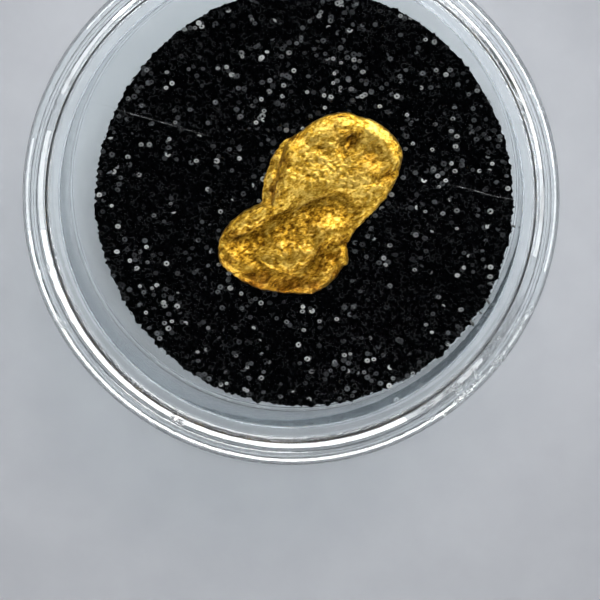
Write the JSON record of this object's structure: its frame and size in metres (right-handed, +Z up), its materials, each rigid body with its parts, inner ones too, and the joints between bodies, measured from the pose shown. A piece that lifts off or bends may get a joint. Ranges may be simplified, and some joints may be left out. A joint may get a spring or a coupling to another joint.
{
  "type": "gold sample vial",
  "caption": "Low round clear vial with a press-on lid and a raised rounded rim, holding a disc of black foam with a natural gold nugget on it.",
  "frame": {"origin": "middle of the cup's foot, on the plane that the vial stands on", "axes": "+Z up along the vial's axis, through the lid; +X and +Y lie in the plane of the foot, and the nugget points from -X -Y to +X +Y"},
  "size_m": [0.03, 0.03, 0.0115],
  "materials": {
    "cup_plastic": "gloss",
    "lid_plastic": "gloss",
    "black_foam": "matte",
    "native_gold": "satin"
  },
  "bodies": {
    "cup": {"base_cup": "cup_plastic"},
    "cover": {"lid": "lid_plastic"},
    "pad": {"foam_pad": "black_foam"},
    "specimen": {"gold_nugget": "native_gold"}
  },
  "joints": [
    {"name": "lid_lift", "type": "slide", "parent": "cup", "child": "cover", "axis": [0, 0, 1], "range_m": [0, 0.05]},
    {"name": "nugget_lift", "type": "slide", "parent": "cup", "child": "specimen", "axis": [0, 0, 1], "range_m": [0, 0.03]},
    {"name": "foam_lift", "type": "slide", "parent": "cup", "child": "pad", "axis": [0, 0, 1], "range_m": [0, 0.015]}
  ],
  "couplings": [
    {"joint": "nugget_lift", "follows": "lid_lift", "ratio": 0.6},
    {"joint": "foam_lift", "follows": "lid_lift", "ratio": 0.3}
  ]
}
